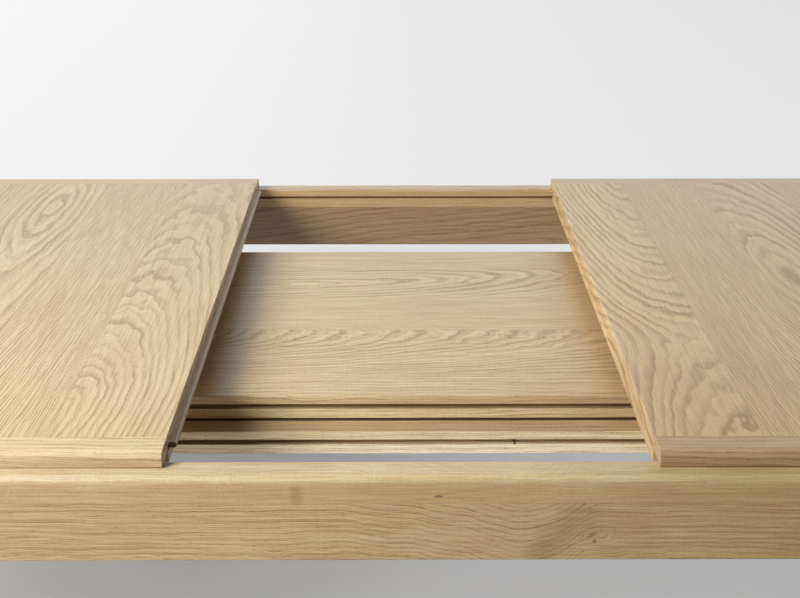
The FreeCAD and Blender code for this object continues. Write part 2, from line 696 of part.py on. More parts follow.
def make_runner(end, along, side, across):
    """A flat steel runner under a half, which slides in a rail's groove."""
    low, high = mirrored(along, RUNNER_IN, RUNNER_OUT)
    y_low, y_high = mirrored(across, RUNNER_BACK, RUNNER_TIP)
    runner = prism("XY_Plane", RUNNER_UNDER, PANEL_UNDER,
                   rectangle(low, high, y_low, y_high))
    screws = runner_screw_places(along, across)
    add_node(drilled(runner, formula("runner_screw_length"), screws),
             f"{end}_{side}_runner")


# ------------------------------------------------------------ the loose leaves

def make_leaf(level, top, middle):
    """A stored leaf: panel, end lippings, tongue and felt strips."""
    under = f"({top} - {formula('panel_thick')})"
    front = f"({middle} - {formula('leaf_width / 2')})"
    back = f"({middle} + {formula('leaf_width / 2')})"
    make_leaf_panel(level, top, under, front, back)
    for end, along in ENDS:
        make_leaf_lipping(level, end, along, top, front, back)
    make_leaf_tongue(level, top, back)
    make_leaf_felt(level, under, middle)


def make_leaf_panel(level, top, under, front, back):
    """The boards of a leaf, grooved in front and slotted for its tongue behind."""
    groove_low, groove_high = tongue_span(top, formula("tongue_clear"))
    slot_low, slot_high = tongue_span(top, "0")
    groove = f"({front} + {formula('groove_depth')})"
    slot = f"({back} - {formula('tongue_seat')})"
    section = ((front, under), (back, under),
               (back, slot_low), (slot, slot_low), (slot, slot_high), (back, slot_high),
               (back, top), (front, top),
               (front, groove_high), (groove, groove_high),
               (groove, groove_low), (front, groove_low))
    panel = prism("YZ_Plane", signed(-1, PANEL_SIDE), PANEL_SIDE, section)
    round_edges(panel, formula("edge_ease"),
                *({"y": place, "z": height} for place in (front, back)
                  for height in (top, under)))
    add_node(panel, f"{level}_leaf_panel")


def make_leaf_lipping(level, end, along, top, front, back):
    """A lipping across a leaf's end, like the lipping of a half."""
    low, high = mirrored(along, PANEL_SIDE, TOP_SIDE)
    under = f"({top} - {formula('lipping_thick')})"
    lipping = prism("XZ_Plane", front, back, rectangle(low, high, under, top))
    face = signed(along, TOP_SIDE)
    round_edges(lipping, formula("lipping_round"), {"x": face, "z": top})
    round_edges(lipping, formula("edge_ease"), {"y": front, "z": under},
                {"y": back, "z": under}, {"x": face, "z": under})
    add_node(lipping, f"{level}_leaf_{end}_lipping")


def make_leaf_tongue(level, top, back):
    """The loose tongue glued into a leaf's back edge."""
    low, high = tongue_span(top, "0")
    nose = f"({back} + {formula('tongue_reach')})"
    seat = f"({back} - {formula('tongue_seat')})"
    tongue = prism("YZ_Plane", signed(-1, TONGUE_END), TONGUE_END,
                   rectangle(seat, nose, low, high))
    round_edges(tongue, formula("tongue_round"), {"y": nose, "z": low},
                {"y": nose, "z": high})
    add_node(tongue, f"{level}_leaf_tongue")


def make_leaf_felt(level, under, middle):
    """Two felt strips under a leaf, as one node."""
    strips = []
    for sign in (-1, 1):
        strip = doc.addObject("Part::Box", "Box")
        strip.setExpression("Length", f"2 * {FELT_END}")
        strip.setExpression("Width", formula("felt_width"))
        strip.setExpression("Height", formula("felt_thick"))
        line = f"({middle} + {sign} * {formula('felt_offset')})"
        stand(strip, (signed(-1, FELT_END), f"({line} - {formula('felt_width / 2')})",
                      f"({under} - {formula('felt_thick')})"), Vector(0, 0, 1))
        strips.append(strip)
    group = doc.addObject("Part::Compound", "Felt")
    group.Links = strips
    add_node(group, f"{level}_leaf_felt")


# --------------------------------------------------------------- the assembly

for side, across in SIDES:
    make_long_rail(side, across)
for end, along in ENDS:
    make_end_rail(end, along)
    make_glide_strip(end, along)
    make_bearer(end, along)
for corner, along, across in CORNERS:
    make_leg(corner, along, across)
    make_foot_glide(corner, along, across)
    make_corner_block(corner, along, across)
    make_hanger(corner, along, across)
make_leg_bolts()
make_leg_nuts()
make_runner_buffers()
screw_group("leg_screws", formula("leg_screw_length"),
            [place for corner, along, across in CORNERS
             for place in leg_screw_places(along, across)])
screw_group("hanger_screws", formula("hanger_screw_length"),
            [place for corner, along, across in CORNERS
             for place in hanger_screw_places(along, across)])
screw_group("bearer_screws", formula("bearer_screw_length"),
            [place for corner, along, across in CORNERS
             for place in bearer_screw_places(along, across)])
for end, along in ENDS:
    make_half_panel(end, along)
    for side, across in SIDES:
        make_half_lipping(end, along, side, across)
        make_runner(end, along, side, across)
    screw_group(f"{end}_runner_screws", formula("runner_screw_length"),
                [place for side, across in SIDES
                 for place in runner_screw_places(along, across)])
make_half_tongue("left", LEFT)
make_leaf("upper", UPPER_LEAF_TOP, "0")
make_leaf("lower", LOWER_LEAF_TOP, formula("-1 * lower_leaf_shift"))

doc.recompute()
for thing in doc.Objects:
    if "Invalid" in thing.State or "Error" in thing.State:
        raise RuntimeError(f"{thing.Name} ({thing.Label}) failed")
for node in nodes:
    if node.Shape.isNull() or not node.Shape.isValid():
        raise RuntimeError(f"{node.Label} has no sound shape")

os.makedirs("parts", exist_ok=True)
for node in nodes:
    node.Shape.exportStep(f"parts/{node.Label}.step")
    box = node.Shape.BoundBox
    print(f"{node.Label:28s} solids {len(node.Shape.Solids):2d}"
          f"  x {box.XMin:8.1f} {box.XMax:8.1f}  y {box.YMin:7.1f} {box.YMax:7.1f}"
          f"  z {box.ZMin:6.1f} {box.ZMax:6.1f}")
print(len(nodes), "nodes")
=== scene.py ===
import math
import bmesh
import bpy
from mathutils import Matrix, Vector

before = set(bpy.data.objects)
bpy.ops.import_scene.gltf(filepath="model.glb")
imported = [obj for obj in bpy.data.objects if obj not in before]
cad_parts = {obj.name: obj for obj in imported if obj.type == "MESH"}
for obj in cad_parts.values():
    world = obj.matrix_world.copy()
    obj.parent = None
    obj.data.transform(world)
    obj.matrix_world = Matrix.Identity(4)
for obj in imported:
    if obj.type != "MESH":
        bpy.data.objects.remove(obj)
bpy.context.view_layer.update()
print("frame loaded:", len(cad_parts), "nodes")

perMetre = 1000.0   # the patterns are laid out in millimetres


class Value:
    # a number or a colour that varies over a surface, for use in plain expressions
    def __init__(self, paint, socket):
        self.paint = paint
        self.socket = socket

    def maths(self, operation, first, second=0.0):
        return self.paint.node("ShaderNodeMath", {"operation": operation},
                               {0: first, 1: second})

    def __add__(self, other):
        return self.maths("ADD", self, other)

    def __radd__(self, other):
        return self.maths("ADD", other, self)

    def __sub__(self, other):
        return self.maths("SUBTRACT", self, other)

    def __rsub__(self, other):
        return self.maths("SUBTRACT", other, self)

    def __mul__(self, other):
        return self.maths("MULTIPLY", self, other)

    def __rmul__(self, other):
        return self.maths("MULTIPLY", other, self)

    def __truediv__(self, other):
        return self.maths("DIVIDE", self, other)

    def __rtruediv__(self, other):
        return self.maths("DIVIDE", other, self)

    def __gt__(self, other):
        return self.maths("GREATER_THAN", self, other)

    def __lt__(self, other):
        return self.maths("LESS_THAN", self, other)

    def larger(self, other):
        return self.maths("MAXIMUM", self, other)

    def root(self):
        return self.maths("SQRT", self)

    def fraction(self):
        return self.maths("FRACT", self)

    def whole(self):
        return self.maths("FLOOR", self)

    def fade(self, start, end, low=0.0, high=1.0):
        # eased change from low to high while the value goes from start to end
        return self.paint.node("ShaderNodeMapRange",
                               {"interpolation_type": "SMOOTHSTEP", "clamp": True},
                               {"Value": self, "From Min": start, "From Max": end,
                                "To Min": low, "To Max": high})


class Paint:
    # the node tree of one material, or of the world
    def __init__(self, block, kind="Material"):
        block.use_nodes = True
        self.block = block
        self.tree = block.node_tree
        self.tree.nodes.clear()
        self.output = self.tree.nodes.new(f"ShaderNodeOutput{kind}")

    def node(self, kind, settings, sockets, result=0):
        made = self.tree.nodes.new(kind)
        for name, setting in settings.items():
            setattr(made, name, setting)
        for key, content in sockets.items():
            if isinstance(content, Value):
                self.tree.links.new(content.socket, made.inputs[key])
            else:
                made.inputs[key].default_value = content
        return Value(self, made.outputs[result])

    def place(self):
        # where a point of the piece is, in millimetres of the table's own frame
        point = self.node("ShaderNodeTexCoord", {}, {}, "Object")
        split = self.node("ShaderNodeSeparateXYZ", {}, {0: point}).socket.node
        return {axis: Value(self, split.outputs[index]) * perMetre
                for index, axis in enumerate("xyz")}

    def noise(self, x, y, z, detail=1.0, roughness=0.5):
        # centred on zero, mostly within -0.5 and 0.5
        point = self.node("ShaderNodeCombineXYZ", {}, {0: x, 1: y, 2: z})
        return self.node("ShaderNodeTexNoise", {"noise_dimensions": "3D"},
                         {"Vector": point, "Scale": 1.0, "Detail": detail,
                          "Roughness": roughness}) - 0.5

    def speckle(self, place, size, detail, roughness=0.5):
        # noise in marks of one size, in millimetres
        return self.noise(*(place[axis] / size for axis in "xyz"), detail, roughness)

    def mix(self, first, second, share, blend="MIX"):
        # the Mix node's sockets for colours are 6 and 7, and its result is 2
        return self.node("ShaderNodeMix", {"data_type": "RGBA", "blend_type": blend,
                                           "clamp_factor": True},
                         {0: share, 6: first, 7: second}, 2)

    def show(self, shader):
        self.tree.links.new(shader.socket, self.output.inputs["Surface"])
        return self.block

    def finish(self, sockets, relief, strength, depth):
        # a surface with a relief of the given depth, in metres
        normal = self.node("ShaderNodeBump", {},
                           {"Height": relief, "Strength": strength, "Distance": depth})
        return self.show(self.node("ShaderNodeBsdfPrincipled", {},
                                   dict(sockets, Normal=normal)))


def newPaint(name):
    return Paint(bpy.data.materials.new(name))


def colour(red, green, blue):
    # a shader colour from the three numbers of a colour picker, 0 to 255
    def linear(level):
        level = level / 255.0
        return level / 12.92 if level <= 0.04045 else ((level + 0.055) / 1.055) ** 2.4
    return (linear(red), linear(green), linear(blue), 1.0)


# oak, sawn as boards from round logs, so the same rings show on every face
oakColours = {
    "pale": (231, 206, 158),
    "warm": (215, 184, 133),
    "ringLine": (178, 143, 96),
    "pore": (146, 112, 70),
    "ray": (236, 214, 172),
    "blush": (214, 174, 132),
    "knot": (88, 60, 38),
    "seam": (128, 98, 64),
}

# noise in the wood: the size of its marks across, along and into the wood in mm,
# how far it moves on those ways from board to board, its detail and its roughness
oakLayers = {
    "wander": ((130.0, 300.0, 130.0), (0.0, 0.0, 7.31), 1.0, 0.5),
    "swell": ((38.0, 85.0, 60.0), (3.7, 0.0, 0.0), 1.0, 0.5),
    "ripple": ((17.0, 34.0, 17.0), (0.0, 0.0, 5.1), 1.2, 0.5),
    "broken": ((6.0, 70.0, 6.0), (0.0, 0.0, 1.3), 1.0, 0.5),
    "fibre": ((1.2, 40.0, 1.2), (0.0, 0.0, 1.0), 2.0, 0.6),
    "grain": ((2.8, 130.0, 2.8), (0.0, 0.0, 1.7), 1.0, 0.5),
    "streak": ((5.0, 240.0, 5.0), (0.0, 0.0, 2.3), 2.0, 0.5),
    "fine": ((0.5, 7.0, 0.5), (0.0, 0.0, 1.0), 1.0, 0.6),
    "patch": ((4.4, 2.6, 4.4), (0.0, 0.0, 4.4), 2.0, 0.6),
    "cluster": ((40.0, 45.0, 40.0), (0.0, 0.0, 1.0), 1.0, 0.5),
    "cloud": ((90.0, 220.0, 90.0), (0.0, 0.0, 9.0), 1.0, 0.5),
}

# how the rings lie and show; where two or four numbers stand together, a change
# goes from the first to the second, between the levels that follow
oakRings = {
    "wander": 22.0,                         # of the heart of the log, mm
    "swell": 10.0,                          # of the rings along the board, mm
    "ripple": 3.4,                          # of the rings over the heart, mm
    "calm": (0.0, 80.0 ** 2, 1.0, 0.25),    # ripples, by squared distance from it
    "groupSize": 23.0,                      # years of like width together, mm
    "groupSlice": 0.5,                      # any slice through that noise would do
    "yearStep": 0.73,                       # change of strength from year to year
    "yearSeed": 1.9,                        # and from board to board
    "yearLength": 160.0,                    # a line stays as strong for this long, mm
    "yearStrength": (0.28, 0.66, 0.30, 1.0),
    "darken": (0.0, 0.14),                  # shares of a year
    "fadeOut": (0.10, 0.72, 1.0, 0.0),
    "fineYears": 2.7,                       # fine lines for each year
    "fineRipple": 0.5,
    "fineDarken": (0.0, 0.16),
    "fineFadeOut": (0.14, 0.7, 1.0, 0.0),
    "fineBreaks": (-0.35, 0.12),
    "fibreInLines": 1.3,
}

# the marks over the rings, given in the same way
oakMarks = {
    "pores": (0.02, 0.20),
    "poresInLines": 1.1,
    "poresBetween": 0.22,
    "poreShare": 0.75,
    "rays": (0.06, 0.3),
    "rayClusters": 0.9,
    "cloudTone": 0.9,
    "streakTone": 1.1,
    "blush": (-0.05, 0.3, 0.0, 0.38),
    "darkFibre": (0.0, 0.32, 0.0, 0.62),
    "darkGrain": (0.0, 0.3, 0.0, 0.35),
    "paleFibre": (-0.32, 0.0, 0.62, 0.0),
    "paleGrain": (-0.3, 0.0, 0.35, 0.0),
    "seamReach": 0.45,                      # half the width of a glued joint, mm
    "seamShare": 0.30,
}

oakSurface = {
    "poreRelief": -0.6,
    "lineRelief": 0.3,
    "fibreRelief": 0.15,
    "reliefStrength": 0.3,
    "reliefDepth": 0.0003,                  # metres
    "roughness": 0.44,
    "poreRoughness": 0.15,
    "rayRoughness": 0.08,
    "lineRoughness": 0.05,
    "refraction": 1.45,
    "oil": 0.35,
    "oilRoughness": 0.32,
}

# a plain board, sawn well away from the heart of its log
straight = {
    "pith": 160.0,      # from the middle of the board across to the heart, mm
    "lean": 0.0,        # how far the lines lean across, per mm along
    "deep": 110.0,      # how deep the heart lies at the crest, mm
    "tilt": 0.0,        # how the heart sinks along the board
    "bend": 0.02,       # and how it sinks away from the crest, both ways
    "ease": 0.0,        # slows that down far from the crest, per mm
    "onward": 0.0,      # 1 where it sinks on one side of the crest only
    "crest": 0.0,       # where along the board that is, mm
    "soft": 60.0,       # how blunt the crest is, mm
    "oval": 1.0,        # how much closer the years lie to the sides of the heart
    "ring": 6.0,        # width of one year, mm
    "uneven": 1.6,      # how much one year's width differs from the next
    "wobble": 1.6,      # size of the ripples over the heart
    "contrast": 0.55,   # strength of the lines of the years
    "fine": 0.5,        # and of the lines between the years
    "tone": 0.5,        # 0 pale, 1 warm
    "rays": 0.0,        # strength of the bright rays
}

knotLook = {
    "reach": 4.0,       # how far a knot pushes the rings aside, in its own sizes
    "stretch": 2.0,     # how much longer than wide that field is
    "ragged": 3.6,
    "core": 0.1,        # share of its size that is fully dark
}


def board(seed, **changes):
    return dict(straight, seed=float(seed), **changes)


def spot(shade, soft, **box):
    # a part of a piece, bounded in x, y or z, whose colour is multiplied by the
    # shade, for marks in the wood and for painted light and shade; soft is one
    # distance in mm, or one for each bound
    return {"shade": shade, "soft": soft, "box": box}


def stairs(across, joints, levels):
    # one level for each board, stepping where the boards meet
    total = levels[0]
    for joint, before, after in zip(joints, levels, levels[1:]):
        if after != before:
            total = (across > joint) * (after - before) + total
    return total


def hump(distance, reach):
    # 1 in the middle, easing to 0 at the reach
    return (distance * distance).fade(0.0, reach * reach, 1.0, 0.0)


def within(place, box, soft):
    # 1 inside the box, easing to 0 over the soft distance round it
    share = 1.0
    softs = soft if isinstance(soft, tuple) else (soft,) * len(box)
    for (axis, (low, high)), reach in zip(box.items(), softs):
        share = place[axis].fade(low - reach, low) * share
        share = place[axis].fade(high, high + reach, 1.0, 0.0) * share
    return share


def layer(paint, ways, seed, sizes, moves, detail, roughness):
    point = []
    for way, size, move in zip(ways, sizes, moves):
        point.append(way / size + seed * move if move else way / size)
    return paint.noise(*point, detail, roughness)


def knotSpan(place, plan, knot, stretch):
    # squared distance from a knot, shorter along the grain by the stretch
    across = place[plan["across"]] - knot["across"]
    along = (place[plan["grain"]] - knot["along"]) / stretch
    return across * across + along * along


def knotPull(place, plan, knot):
    reach = knot["size"] * knotLook["reach"]
    span = knotSpan(place, plan, knot, knotLook["stretch"])
    return span.fade(0.0, reach * reach, 1.0, 0.0)


def knotHeart(place, plan, knot, patch):
    size = knot["size"]
    span = knotSpan(place, plan, knot, knot["long"]) * (patch * knotLook["ragged"] + 1.0)
    return span.fade(size * size * knotLook["core"], size * size, 1.0, 0.0)


def heartDistance(plan, place, ways, pick, layers):
    # how far each point lies from the heart of its board's log, in mm
    across, along, down = ways
    side = across - pick["middle"] - pick["pith"] - along * pick["lean"]
    side = side + layers["wander"] * oakRings["wander"]
    for pull in plan.get("pulls", []):
        side = side + hump(along - pull["along"], pull["reach"]) * pull["shift"]
    run = along - pick["crest"]
    away = (run * run + pick["soft"] * pick["soft"]).root() + run * pick["onward"]
    lift = away / (away * pick["ease"] + 1.0) * pick["bend"] + run * pick["tilt"]
    height = (plan["face"] - down) * math.copysign(1.0, plan["face"])
    height = height + pick["deep"] + lift + layers["swell"] * oakRings["swell"]
    radius = (side * side * pick["oval"] + height * height).root()
    loose = (side * side).fade(*oakRings["calm"])
    radius = radius + layers["ripple"] * loose * pick["wobble"] * oakRings["ripple"]
    for knot in plan.get("knots", []):
        radius = radius + knotPull(place, plan, knot) * knot["push"]
    return radius


def yearLines(paint, radius, along, pick, layers):
    # a dark line for each year, which fades out, with finer lines between
    look, seed = oakRings, pick["seed"]
    uneven = paint.noise(radius / look["groupSize"], seed, look["groupSlice"])
    uneven = uneven * pick["uneven"]
    years = radius / pick["ring"] + uneven
    phase = years.fraction()
    strength = paint.noise(years.whole() * look["yearStep"], seed * look["yearSeed"],
                           along / look["yearLength"]) + 0.5
    band = phase.fade(*look["darken"]) * phase.fade(*look["fadeOut"])
    band = band * strength.fade(*look["yearStrength"])
    finePhase = years * look["fineYears"] + layers["ripple"] * look["fineRipple"]
    finePhase = (finePhase + uneven).fraction()
    fineBand = finePhase.fade(*look["fineDarken"]) * finePhase.fade(*look["fineFadeOut"])
    fineBand = fineBand * layers["broken"].fade(*look["fineBreaks"])
    lines = band * pick["contrast"] + fineBand * pick["fine"]
    return lines * (layers["fibre"] * look["fibreInLines"] + 1.0)


def oak(name, plan):
    paint = newPaint(name)
    place = paint.place()
    ways = [place[plan[way]] for way in ("across", "grain", "depth")]
    across, along = ways[:2]
    edges = [plan["start"]]
    for width in plan["widths"]:
        edges.append(edges[-1] + width)
    joints = edges[1:-1]
    pick = {key: stairs(across, joints, [one[key] for one in plan["boards"]])
            for key in plan["boards"][0]}
    pick["middle"] = stairs(across, joints, [edge + width / 2.0 for edge, width
                                             in zip(edges, plan["widths"])])
    layers = {key: layer(paint, ways, pick["seed"], *shape)
              for key, shape in oakLayers.items()}
    fibre, grain = layers["fibre"], layers["grain"]
    radius = heartDistance(plan, place, ways, pick, layers)
    lines = yearLines(paint, radius, along, pick, layers)

    marks = oakMarks
    pores = layers["fine"].fade(*marks["pores"])
    pores = pores * (lines * marks["poresInLines"] + marks["poresBetween"])
    rays = layers["patch"] + layers["cluster"] * marks["rayClusters"]
    rays = rays.fade(*marks["rays"]) * pick["rays"]
    tone = pick["tone"] + layers["cloud"] * marks["cloudTone"]
    tone = (tone + layers["streak"] * marks["streakTone"]).fade(0.0, 1.0)

    tint = plan.get("tint", (1.0, 1.0, 1.0)) + (1.0,)
    shades = {key: tuple(level * share for level, share in zip(colour(*shade), tint))
              for key, shade in oakColours.items()}
    wood = paint.mix(shades["pale"], shades["warm"], tone)
    for shade, share in (("blush", layers["swell"].fade(*marks["blush"])),
                         ("ringLine", lines),
                         ("ringLine", fibre.fade(*marks["darkFibre"])),
                         ("ringLine", grain.fade(*marks["darkGrain"])),
                         ("ray", fibre.fade(*marks["paleFibre"])),
                         ("ray", grain.fade(*marks["paleGrain"])),
                         ("pore", pores * marks["poreShare"]),
                         ("ray", rays)):
        wood = paint.mix(wood, shades[shade], share)
    for knot in plan.get("knots", []):
        heart = knotHeart(place, plan, knot, layers["patch"])
        wood = paint.mix(wood, shades["knot"], heart * knot["dark"])
    for joint in joints:
        seam = hump(across - joint, marks["seamReach"]) * marks["seamShare"]
        wood = paint.mix(wood, shades["seam"], seam)
    # the spots: marks in the wood, and painted light and shade on some faces
    for shaded in plan.get("spots", []):
        share = within(place, shaded["box"], shaded["soft"])
        wood = paint.mix(wood, shaded["shade"] + (1.0,), share, "MULTIPLY")

    look = oakSurface
    relief = look["poreRelief"] * pores - lines * look["lineRelief"]
    relief = relief + fibre * look["fibreRelief"]
    rough = look["roughness"] + pores * look["poreRoughness"]
    rough = rough - rays * look["rayRoughness"] + lines * look["lineRoughness"]
    return paint.finish({"Base Color": wood, "Roughness": rough,
                         "IOR": look["refraction"], "Coat Weight": look["oil"],
                         "Coat Roughness": look["oilRoughness"]},
                        relief, look["reliefStrength"], look["reliefDepth"])


# where the wood's edges lie, in mm: heights from the floor, the rest from the middle
table = {
    "topFace": 750.0,
    "topEnd": 1167.0,
    "topEdge": 267.0,           # the end of a half that faces the opening
    "upperLeafFace": 694.0,
    "lowerLeafFace": 659.5,
    "lowerLeafMiddle": -30.0,
    "leafWidth": 500.0,
    "railFace": 497.0,
    "railInside": 465.0,
    "railFoot": 624.0,
    "railBoards": (74.0, 33.0),
    "endRailFace": 880.0,
    "endRailHeight": 88.0,
    "lippingMiddle": 462.0,
    "lippingWidth": 34.0,
    "legMiddle": 847.5,
    "legWidth": 85.0,
    "blockFoot": 638.0,
    "blockHeight": 60.0,
    "hangerFace": 450.0,
    "bearerMiddle": 362.5,
    "bearerWidth": 45.0,
    "bearerFace": 625.0,
    "tongueWidth": 18.0,
    "tongueSeat": 10.0,         # how deep a tongue is glued in
}

# the halves of the top: seven boards each, grain across the table
leftTop = {
    "grain": "y", "across": "x", "depth": "z",
    "face": table["topFace"],
    "start": -table["topEnd"],
    "widths": (102.0, 132.5, 133.5, 134.0, 132.5, 134.0, 131.5),
    "boards": [
        board(11, pith=-150.0, tone=0.4),
        board(12, pith=10.0, deep=30.0, bend=0.12, crest=100.0, ring=9.0, tone=0.6),
        board(13, pith=140.0, tone=0.3),
        board(14, pith=-120.0, deep=90.0, tone=0.6),
        board(15, pith=0.0, deep=4.0, bend=0.20, ease=0.0008, crest=311.0, soft=44.0,
              ring=13.0, contrast=0.8, fine=0.3, tone=0.45),
        board(16, pith=-150.0, deep=100.0, bend=0.0, tilt=-0.1, ring=8.4, contrast=0.2,
              fine=0.9, tone=0.4, uneven=1.0, wobble=0.7),
        board(17, pith=-35.5, lean=0.082, oval=1.35, deep=4.0, bend=0.31, ease=0.00115,
              onward=1.0, crest=-350.0, soft=26.0, ring=10.5, contrast=0.85, fine=0.15,
              tone=0.4, uneven=1.6, wobble=4.0),
    ],
    "spots": [
        # the cut end of the boards where the tongue stops short of the lipping, with
        # painted light: made lighter and cooler where it lies in shade
        spot((1.25, 1.6, 2.5), 0.5, x=(-276.0, -267.2), y=(-446.0, -444.6),
             z=(715.0, 731.0)),
    ],
}
rightTop = {
    "grain": "y", "across": "x", "depth": "z",
    "face": table["topFace"],
    "start": table["topEdge"],
    "widths": (119.0, 135.0, 134.0, 133.0, 134.0, 133.0, 112.0),
    "tint": (1.06, 0.98, 0.85),
    "boards": [
        board(21, pith=52.0, oval=2.2, deep=240.0, tilt=-0.08, bend=-0.32, ease=0.0006,
              crest=-200.0, soft=40.0, ring=12.0, contrast=0.95, fine=0.15, tone=0.25,
              uneven=1.6, wobble=4.0),
        board(22, pith=150.0, deep=120.0, bend=0.0, tilt=-0.12, ring=8.4, contrast=0.2,
              fine=0.8, tone=0.5, uneven=1.0, wobble=0.7),
        board(23, pith=-26.0, deep=6.0, oval=0.85, lean=-0.08, bend=0.21, crest=10.0,
              soft=30.0, ring=12.5, contrast=1.0, fine=0.2, tone=0.45, wobble=2.6),
        board(24, pith=170.0, tone=0.75),
        board(25, pith=20.0, deep=40.0, bend=0.12, crest=-150.0, ring=9.0, tone=0.5),
        board(26, pith=-160.0, tone=0.35),
        board(27, pith=150.0, tone=0.6),
    ],
    "spots": [
        spot((0.90, 0.87, 0.85), 150.0, x=(267.0, 380.0), y=(-500.0, -330.0)),
        spot((1.08, 1.08, 1.03), 70.0, x=(267.0, 320.0), y=(-120.0, 500.0)),
        # the edge that faces the opening, made cooler in colour; painted light in its
        # groove and on the groove's near end, made lighter and cooler where they lie in
        # shade
        spot((0.93, 1.00, 1.24), 0.6, x=(260.0, 267.4)),
        spot((1.14, 1.32, 1.62), 0.5, x=(268.0, 277.0), z=(731.6, 738.6)),
        spot((1.10, 1.30, 1.60), 0.5, x=(267.2, 276.0), y=(-446.0, -444.6),
             z=(715.0, 731.0)),
    ],
}

# the leaves: five boards each, grain along the table as they lie in store
leaf = {
    "widths": (63.0, 133.0, 114.0, 111.0, 79.0),
    # painted shade: the inside of the front groove darkened
    "groovePaintedShade": (0.58, 0.57, 0.56),
    "grooveSoft": 0.4,
    "grooveDepth": (1.0, 10.0),         # behind the front edge, mm
    "grooveDrop": (18.6, 11.2),         # below the face, mm
}


def leafPlan(face, middle, seed, spots, **changes):
    front = middle - table["leafWidth"] / 2.0
    # painted shade inside the front groove
    groove = spot(leaf["groovePaintedShade"], leaf["grooveSoft"],
                  y=tuple(front + depth for depth in leaf["grooveDepth"]),
                  z=tuple(face - drop for drop in leaf["grooveDrop"]))
    return dict(changes, grain="x", across="y", depth="z", face=face, start=front,
                widths=leaf["widths"], spots=spots + [groove], boards=[
                    board(seed, pith=-120.0, tone=0.4),
                    board(seed + 1, pith=61.0, oval=1.6, deep=30.0, bend=0.35,
                          ease=0.001, crest=-400.0, ring=7.0, contrast=0.8, fine=0.45,
                          tone=0.4, wobble=1.6),
                    board(seed + 2, pith=-150.0, deep=70.0, ring=7.0, contrast=0.25,
                          fine=0.3, tone=0.5),
                    board(seed + 3, pith=10.0, lean=0.08, deep=16.0, tilt=0.12,
                          bend=0.07, crest=0.0, soft=80.0, ring=9.0, contrast=0.8,
                          fine=0.35, tone=0.35),
                    board(seed + 4, pith=150.0, ring=5.0, contrast=0.3, fine=0.3,
                          tone=0.45),
                ])


upperLeaf = leafPlan(table["upperLeafFace"], 0.0, 31, [
    # painted shade: the leaf darker and browner at its right end, under the edge of the
    # right half
    spot((0.82, 0.79, 0.77), 105.0, x=(262.0, 500.0)),
    # painted shadow: the leaf a little darker at its left end, where the left half's
    # shadow falls
    spot((0.94, 0.90, 0.86), 110.0, x=(-500.0, -240.0)),
    # the front edge: painted shade above its groove, and painted light below it,
    # lighter and cooler
    spot((0.86, 0.87, 0.93), 0.5, y=(-252.0, -249.4), z=(682.4, 694.0)),
    spot((1.05, 1.18, 1.38), 0.5, y=(-252.0, -249.4), z=(660.0, 675.9)),
], tint=(1.11, 1.11, 1.08))
lowerLeaf = leafPlan(table["lowerLeafFace"], table["lowerLeafMiddle"], 41, [
    # the front edge above and below its groove, painted lighter and cooler as painted
    # light
    spot((1.19, 1.31, 1.51), 0.5, y=(-282.0, -279.4), z=(648.0, 659.0)),
    spot((1.38, 1.62, 2.10), 0.5, y=(-282.0, -279.4), z=(627.0, 641.4)),
    # the strip of its face in front of the upper leaf, made darker, and a painted
    # shadow: the nearly black line under that leaf
    spot((0.80, 0.77, 0.83), 1.0, y=(-278.5, -248.0), z=(659.3, 660.0)),
    spot((0.2, 0.18, 0.15), 0.6, y=(-252.0, -247.0), z=(659.3, 660.0)),
    # the right part of the groove, lightened and cooled, which lifts most of the
    # groove's painted shade there, with a small dark nick
    spot((1.45, 1.55, 1.80), (110.0, 0.5, 0.4), x=(-60.0, 500.0), y=(-279.0, -270.0),
         z=(640.9, 648.3)),
    spot((0.25, 0.22, 0.20), (1.0, 0.5, 0.4), x=(132.5, 134.5), y=(-281.0, -270.0),
         z=(640.9, 648.3)),
])

